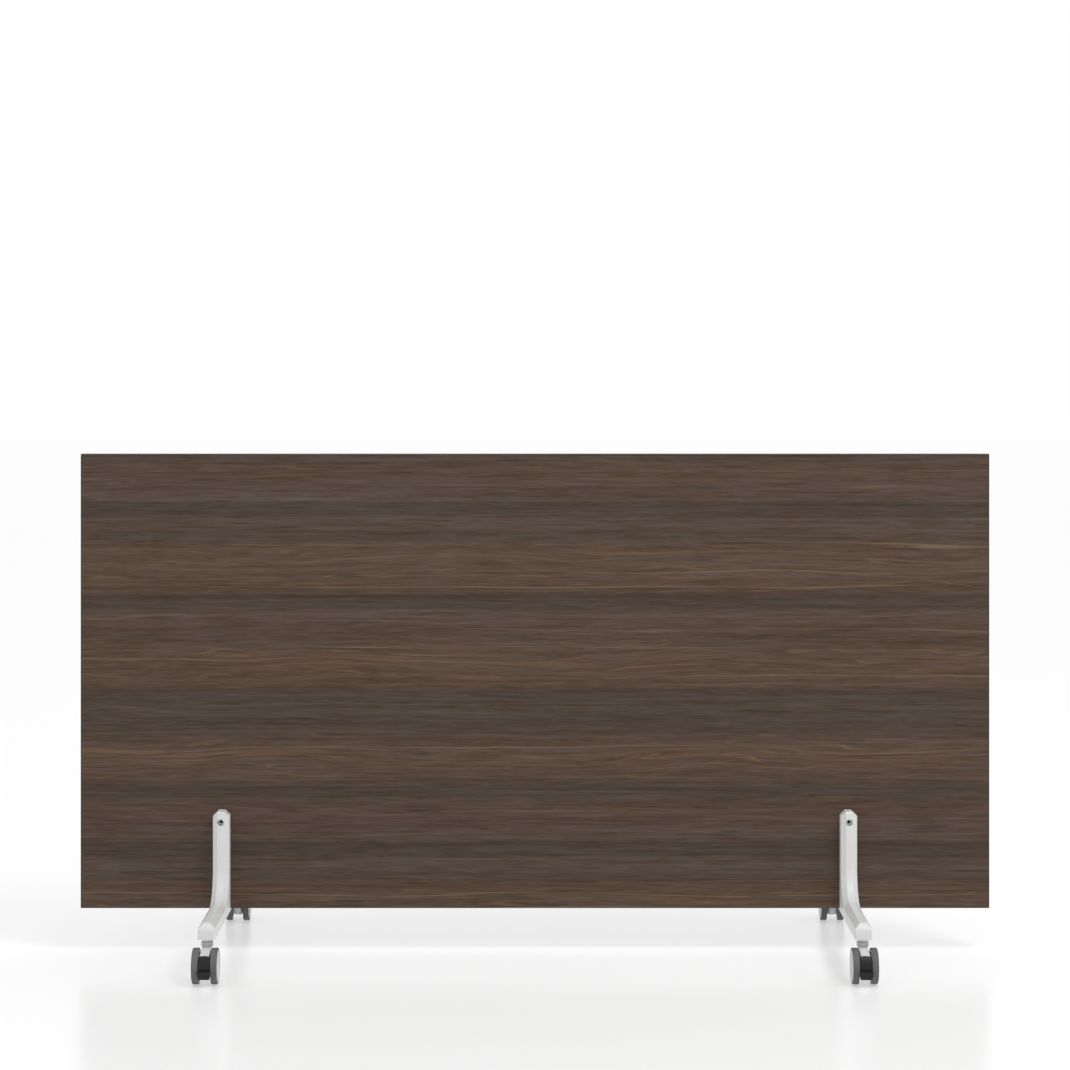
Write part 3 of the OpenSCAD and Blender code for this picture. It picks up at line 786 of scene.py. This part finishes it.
class Bench:
    """Modelling moves that the sub-assemblies share.

    Attributes:
        WELD: Distance in metres within which corners are joined.
        FLAT: Largest angle between faces that count as one flat face.
        SMOOTH: Largest angle that is shaded as if it were round.
        WEIGHT: Edge attribute that the bevel reads.
        CUTS: Shares that the rounding near folded faces is cut to, one after the other, while faces fold over.
        FOLD: Twice the area in square metres that a folded triangle needs to count.
    """

    WELD: ClassVar[float] = 0.002 * MM
    FLAT: ClassVar[float] = math.radians(0.4)
    SMOOTH: ClassVar[float] = math.radians(40)
    WEIGHT: ClassVar[str] = "bevel_weight_edge"
    CUTS: ClassVar[tuple[float, ...]] = (0.6, 0.5, 0.5, 0.5, 0.0, 0.0, 0.0, 0.0)
    FOLD: ClassVar[float] = 8e-7

    @staticmethod
    def clear() -> None:
        """Deselects everything, in object mode."""
        if bpy.context.object is not None and bpy.context.object.mode != "OBJECT":
            bpy.ops.object.mode_set(mode="OBJECT")
        bpy.ops.object.select_all(action="DESELECT")

    @staticmethod
    def pick(piece: Piece) -> None:
        """Makes a piece the only one that is selected, and the active one."""
        Bench.clear()
        piece.select_set(True)
        bpy.context.view_layer.objects.active = piece

    @staticmethod
    def edit_edges(action: str) -> None:
        """Goes into edit mode for edges and selects or deselects all, as the action says."""
        bpy.ops.object.mode_set(mode="EDIT")
        bpy.ops.mesh.select_mode(type="EDGE")
        bpy.ops.mesh.select_all(action=action)

    @staticmethod
    def copy_node(node: str, name: str) -> Piece:
        """Copies a CAD node as a free piece and joins its loose triangles.

        Args:
            node: Name of the CAD node.
            name: Name of the new piece.

        Returns:
            The new piece, with flat faces merged.
        """
        source = frame["nodes"][node]
        piece = source.copy()
        piece.data = source.data.copy()
        piece.name = piece.data.name = name
        piece.parent = None
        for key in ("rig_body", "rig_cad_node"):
            if key in piece:
                del piece[key]
        bpy.context.scene.collection.objects.link(piece)
        piece.data.materials.clear()
        Bench.pick(piece)
        bpy.ops.mesh.customdata_custom_splitnormals_clear()
        Bench.edit_edges("SELECT")
        bpy.ops.mesh.remove_doubles(threshold=Bench.WELD)
        bpy.ops.mesh.dissolve_limited(angle_limit=Bench.FLAT)
        bpy.ops.object.mode_set(mode="OBJECT")
        return piece

    @staticmethod
    def folds(piece: Piece) -> list[Vector]:
        """Finds where the faces of a piece fold over.

        Args:
            piece: The piece, with its modifiers.

        Returns:
            Corners of the triangles that face against their own face.
        """
        shape = piece.evaluated_get(bpy.context.evaluated_depsgraph_get())
        mesh = shape.to_mesh()
        mesh.calc_loop_triangles()
        places = {}
        for triangle in mesh.loop_triangles:
            corners = [mesh.vertices[i].co.copy() for i in triangle.vertices]
            turn = (corners[1] - corners[0]).cross(corners[2] - corners[0])
            if turn.dot(mesh.polygons[triangle.polygon_index].normal) < 0 and turn.length > Bench.FOLD:
                places |= {tuple(round(v, 4) for v in corner): corner for corner in corners}
        shape.to_mesh_clear()
        return list(places.values())

    @staticmethod
    def is_near(place: Vector, start: Vector, end: Vector, reach: float) -> bool:
        """Tells whether a place lies within reach of the edge from start to end."""
        span = end - start
        along = max(0.0, min(1.0, (place - start).dot(span) / span.length_squared))
        return (start + span * along - place).length < reach

    @staticmethod
    def soften(piece: Piece, softness: Softness) -> None:
        """Rounds the sharp edges of a piece and smooths its shading.

        Args:
            piece: The piece.
            softness: How far its edges are rounded.
        """
        Bench.pick(piece)
        Bench.edit_edges("DESELECT")
        bpy.ops.mesh.edges_select_sharp(sharpness=math.radians(softness.crease))
        bpy.ops.object.mode_set(mode="OBJECT")
        mesh = piece.data
        sharp = {edge.index: tuple(mesh.vertices[i].co.copy() for i in edge.vertices)
                 for edge in mesh.edges if edge.select}
        weights = mesh.attributes.new(Bench.WEIGHT, "FLOAT", "EDGE")
        for index in sharp:
            weights.data[index].value = 1.0
        bevel = piece.modifiers.new("soft_edges", "BEVEL")
        bevel.width = softness.radius
        bevel.segments = softness.segments
        bevel.limit_method = "WEIGHT"
        bevel.use_clamp_overlap = False
        bevel.miter_outer = "MITER_ARC"
        for share in Bench.CUTS:
            folds = Bench.folds(piece)
            if not folds:
                break
            for index, (start, end) in sharp.items():
                if any(Bench.is_near(fold, start, end, 2 * softness.radius) for fold in folds):
                    mesh.attributes[Bench.WEIGHT].data[index].value *= share
            mesh.update()
        bpy.ops.object.modifier_apply(modifier=bevel.name)
        mesh.attributes.remove(mesh.attributes[Bench.WEIGHT])
        bpy.ops.object.shade_smooth_by_angle(angle=Bench.SMOOTH)
        weighted = piece.modifiers.new("flat_faces", "WEIGHTED_NORMAL")
        weighted.keep_sharp = True
        bpy.ops.object.modifier_apply(modifier=weighted.name)

    @staticmethod
    def dress(piece: Piece, finish: Finish) -> None:
        """Gives a piece its finish."""
        piece.data.materials.clear()
        piece.data.materials.append(finish.material())

    @staticmethod
    def round_off(piece: Piece, nose: Nose) -> None:
        """Rounds the edges at the far ends of a piece, but not those on its underside.

        Edges there that are shorter than the radius are closed first, so that nothing folds over.

        Args:
            piece: The piece.
            nose: The rounding.
        """
        Bench.pick(piece)
        mesh = piece.data
        for edge in mesh.edges:
            low, high = sorted((mesh.vertices[i] for i in edge.vertices), key=lambda end: end.co.z)
            if abs(high.co.y) > nose.reach and low.co.z > nose.under and (high.co - low.co).length < nose.radius:
                low.co = high.co
        Bench.edit_edges("SELECT")
        bpy.ops.mesh.remove_doubles(threshold=Bench.WELD)
        bpy.ops.mesh.select_all(action="DESELECT")
        bpy.ops.object.mode_set(mode="OBJECT")
        for edge in mesh.edges:
            ends = [mesh.vertices[i].co for i in edge.vertices]
            edge.select = all(abs(end.y) > nose.reach for end in ends) and any(end.z > nose.under for end in ends)
        bpy.ops.object.mode_set(mode="EDIT")
        bpy.ops.mesh.bevel(offset=nose.radius, segments=nose.segments, affect="EDGES", clamp_overlap=False)
        bpy.ops.object.mode_set(mode="OBJECT")

    @staticmethod
    def stand_in(node: str, body: str, softness: Softness, finish: Finish,
                 nose: Optional[Nose] = None) -> Piece:
        """Makes a soft-edged piece that stands for a CAD node.

        Args:
            node: The CAD node.
            body: The body it rides on.
            softness: How its edges are rounded.
            finish: Its finish.
            nose: Larger rounding of its far ends, if it has one.

        Returns:
            The new piece.
        """
        piece = Bench.copy_node(node, f"{node}_form")
        if nose is not None:
            Bench.round_off(piece, nose)
        Bench.soften(piece, softness)
        Bench.dress(piece, finish)
        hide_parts(node)
        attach(piece, body)
        LOG.info("%s: %d faces", piece.name, len(piece.data.polygons))
        return piece


@dataclass
class Panel:
    """The laminated panel: core, two skins and four bands.

    Attributes:
        skin_edge: Rounding of the skins' edges.
        band_edge: Rounding of the bands' edges.
    """

    skin_edge: Softness = Softness(0.1 * MM, 1)
    band_edge: Softness = Softness(0.7 * MM, 3)

    def build(self) -> None:
        """Makes the skins and bands with broken edges and gives the core its chips."""
        for side in ("front", "back"):
            Bench.stand_in(f"{side}_laminate", "divider", self.skin_edge, LAMINATE)
        for side in ("top", "bottom"):
            Bench.stand_in(f"{side}_edge_band", "divider", self.band_edge, BAND_ALONG)
        for side in ("left", "right"):
            Bench.stand_in(f"{side}_edge_band", "divider", self.band_edge, BAND_UPRIGHT)
        core = frame["nodes"]["panel_core"]
        core.data.materials.clear()
        core.data.materials.append(BOARD.material())


@dataclass
class Legs:
    """The two cast legs and their fasteners.

    Attributes:
        cast_edge: Rounding of the casting's edges.
        nose: Rounding of the feet's ends.
        turned_edge: Rounding of the screws and nuts.
        thin_edge: Rounding of the inserts, washers and clips.
        screw_place: Distance of the screws from the middle, and their height.
        socket_reach: Distance of the socket's corners from the screw's axis.
        socket_span: Places along Y between which the socket lies.
    """

    cast_edge: Softness = Softness(0.8 * MM, 3)
    nose: Nose = Nose(3.5 * MM, 4, reach=281.0 * MM, under=83.0 * MM)
    turned_edge: Softness = Softness(0.35 * MM, 2)
    thin_edge: Softness = Softness(0.15 * MM, 1)
    screw_place: tuple[float, float] = (629.5 * MM, 264.0 * MM)
    socket_reach: float = 3.6 * MM
    socket_span: tuple[float, float] = (-31.8 * MM, -27.0 * MM)

    def build(self) -> None:
        """Makes the castings, screws, nuts, inserts, washers and clips."""
        for node in ("left_leg", "right_leg"):
            Bench.stand_in(node, "divider", self.cast_edge, LEG_PAINT, self.nose)
        self.shade_sockets(Bench.stand_in("leg_screws", "divider", self.turned_edge, SCREW_COAT))
        Bench.stand_in("sleeve_nuts", "divider", self.turned_edge, STEEL)
        for node, finish in (("stem_inserts", STEEL), ("thrust_washers", CAP_METAL), ("stem_clips", STEEL)):
            Bench.stand_in(node, "divider", self.thin_edge, finish)

    def shade_sockets(self, screws: Piece) -> None:
        """Paints shade onto the inside of the hexagon sockets, as a near-black colour for the shade deep in the recess.
        """
        screws.data.materials.append(SOCKET_SHADE.material())
        for face in screws.data.polygons:
            across = math.hypot(abs(face.center.x) - self.screw_place[0], face.center.z - self.screw_place[1])
            if across < self.socket_reach and self.socket_span[0] < face.center.y < self.socket_span[1]:
                face.material_index = 1


@dataclass
class Caster:
    """One braked twin-wheel caster.

    Attributes:
        name: Name of the caster, which its nodes and bodies start with.
        body_edge: Rounding of the fork's edges.
        hub_edge: Rounding of the hubs' edges.
        tyre_edge: Rounding of the tyres' edges.
        lever_edge: Rounding of the brake lever's edges.
        cap_edge: Rounding of the swivel cap's edges.
        pin_edge: Rounding of the stem, the axle and the pin.
    """

    name: str
    body_edge: Softness = Softness(0.7 * MM, 3)
    hub_edge: Softness = Softness(0.3 * MM, 2)
    tyre_edge: Softness = Softness(0.25 * MM, 2)
    lever_edge: Softness = Softness(0.3 * MM, 3)
    cap_edge: Softness = Softness(0.6 * MM, 3)
    pin_edge: Softness = Softness(0.3 * MM, 2)

    def build(self) -> None:
        """Makes every piece of the caster."""
        self.build_swivel()
        self.build_wheels()
        self.build_brake()

    def build_swivel(self) -> None:
        """Makes the stem and the cap, which stay still, and the fork and axle, which swivel."""
        Bench.stand_in(f"{self.name}_stem", "divider", self.pin_edge, STEEL)
        Bench.stand_in(f"{self.name}_swivel_cap", "divider", self.cap_edge, CAP_METAL)
        Bench.stand_in(f"{self.name}_fork", f"{self.name}_caster", self.body_edge, FORK_PLASTIC)
        Bench.stand_in(f"{self.name}_axle", f"{self.name}_caster", self.pin_edge, STEEL)

    def build_wheels(self) -> None:
        """Makes the hubs and the tyres."""
        for side in ("outer", "inner"):
            body = f"{self.name}_{side}_wheel"
            Bench.stand_in(f"{self.name}_{side}_hub", body, self.hub_edge, HUB_PLASTIC)
            Bench.stand_in(f"{self.name}_{side}_tyre", body, self.tyre_edge, TYRE_RUBBER)

    def build_brake(self) -> None:
        """Makes the brake lever and its pin."""
        Bench.stand_in(f"{self.name}_brake_lever", f"{self.name}_brake", self.lever_edge, BLACK_PLASTIC)
        Bench.stand_in(f"{self.name}_brake_pin", f"{self.name}_caster", self.pin_edge, STEEL)


@dataclass
class Studio:
    """Pale floor, white surroundings, a soft lamp and the camera.

    Attributes:
        floor_size: Side of the floor in metres.
        floor_share: Share of the floor's own white that the camera sees.
        floor_glow: Share of it that lights the object.
        floor_rough: Roughness of the floor.
        floor_tone: Colour of the floor.
        sky_base: How brightly the white surroundings light the object all round.
        sky_above: What is added overhead.
        sky_left: What is added from the left end.
        sky_right: What is added from the right end.
        key: Power of the lamp in watts.
        key_size: Diameter of the lamp.
        key_place: Where the lamp hangs.
        key_aim: Where it points.
        eye_y: Place of the camera in front of the panel.
        eye_z: Height of the camera.
        sensor: Width of the camera's sensor in millimetres.
        lens: Focal length in the same.
        shift: Vertical shift of the lens.
        sight: How far the camera sees.
    """

    floor_size: float = 60.0
    floor_share: float = 0.40
    floor_glow: float = 0.46
    floor_rough: float = 0.22
    floor_tone: Colour = (0.92, 0.92, 0.92, 1.0)
    sky_base: float = 0.24
    sky_above: float = 0.66
    sky_left: float = 1.1
    sky_right: float = 1.32
    key: float = 69.1
    key_size: float = 1.5
    key_place: tuple[float, float, float] = (2.2, -2.1, 4.5)
    key_aim: tuple[float, float, float] = (0.0, 0.0, 0.3)
    eye_y: float = -5.7125
    eye_z: float = 1.2259
    sensor: float = 36.0
    lens: float = 95.28
    shift: float = -0.1801
    sight: float = 200.0

    def build(self) -> None:
        """Makes the floor, the world, the lamp and the camera."""
        self.build_floor()
        self.build_world()
        self.build_lamp()
        self.build_camera()

    @staticmethod
    def seen(graph: Graph) -> Socket:
        """Returns 1 for what the camera sees, straight on or in a gloss."""
        path = graph.node("ShaderNodeLightPath")
        return graph.maths("MAXIMUM", path.outputs["Is Camera Ray"], path.outputs["Is Glossy Ray"])

    def build_floor(self) -> None:
        """Lays the floor and gives it a faint gloss."""
        Bench.clear()
        bpy.ops.mesh.primitive_plane_add(size=self.floor_size)
        floor = bpy.context.object
        floor.name = "studio_floor"
        made = bpy.data.materials.new("studio_floor")
        made.use_nodes = True
        graph = Graph(made.node_tree)
        shader = made.node_tree.nodes["Principled BSDF"]
        graph.give(shader, Base_Color=self.floor_tone, Roughness=self.floor_rough)
        glow = graph.give(graph.node("ShaderNodeEmission"), Strength=1.0)
        share = graph.total(self.floor_glow, graph.times(self.seen(graph), self.floor_share - self.floor_glow))
        graph.give(made.node_tree.nodes["Material Output"],
                   Surface=graph.mix(share, shader.outputs[0], glow.outputs[0]))
        floor.data.materials.append(made)

    def build_world(self) -> None:
        """Sets white surroundings that light the object at their own level."""
        world = bpy.data.worlds.new("studio")
        bpy.context.scene.world = world
        world.use_nodes = True
        graph = Graph(world.node_tree)
        x, _, z = graph.split(graph.node("ShaderNodeTexCoord").outputs["Generated"])
        left = graph.maths("MINIMUM", x, 0.0)
        right = graph.maths("MAXIMUM", x, 0.0)
        level = graph.total(
            self.sky_base,
            graph.times(graph.maths("MAXIMUM", z, 0.0), self.sky_above),
            graph.times(graph.times(left, left), self.sky_left),
            graph.times(graph.times(right, right), self.sky_right))
        light = graph.give(world.node_tree.nodes["Background"], Color=WHITE, Strength=level)
        white = graph.give(graph.node("ShaderNodeBackground"), Color=WHITE, Strength=1.0)
        graph.give(world.node_tree.nodes["World Output"],
                   Surface=graph.mix(self.seen(graph), light.outputs[0], white.outputs[0]))

    def build_lamp(self) -> None:
        """Hangs a broad soft lamp high above the front, to the right."""
        Bench.clear()
        place = Vector(self.key_place)
        bpy.ops.object.light_add(type="AREA", location=place)
        key = bpy.context.object
        key.name = "key_lamp"
        key.data.shape = "DISK"
        key.data.size = self.key_size
        key.data.energy = self.key
        key.rotation_euler = (Vector(self.key_aim) - place).to_track_quat("-Z", "Y").to_euler()

    def build_camera(self) -> None:
        """Sets up the camera at the photograph's viewing angle."""
        data = bpy.data.cameras.new("camera")
        data.lens = self.lens
        data.sensor_width = self.sensor
        data.sensor_fit = "HORIZONTAL"
        data.shift_y = self.shift
        data.clip_end = self.sight
        camera = bpy.data.objects.new("camera", data)
        camera.location = (0.0, self.eye_y, self.eye_z)
        camera.rotation_euler = (math.radians(90), 0.0, 0.0)
        bpy.context.scene.collection.objects.link(camera)
        bpy.context.scene.camera = camera


def main() -> None:
    """Builds the panel, the legs, the casters and the studio, in this order."""
    logging.basicConfig(level=logging.INFO, format="%(name)s %(message)s")
    bpy.context.scene.view_settings.view_transform = "Standard"
    Panel().build()
    Legs().build()
    for name in ("front_left", "front_right", "rear_left", "rear_right"):
        Caster(name).build()
    Studio().build()


if __name__ == "__main__":
    main()
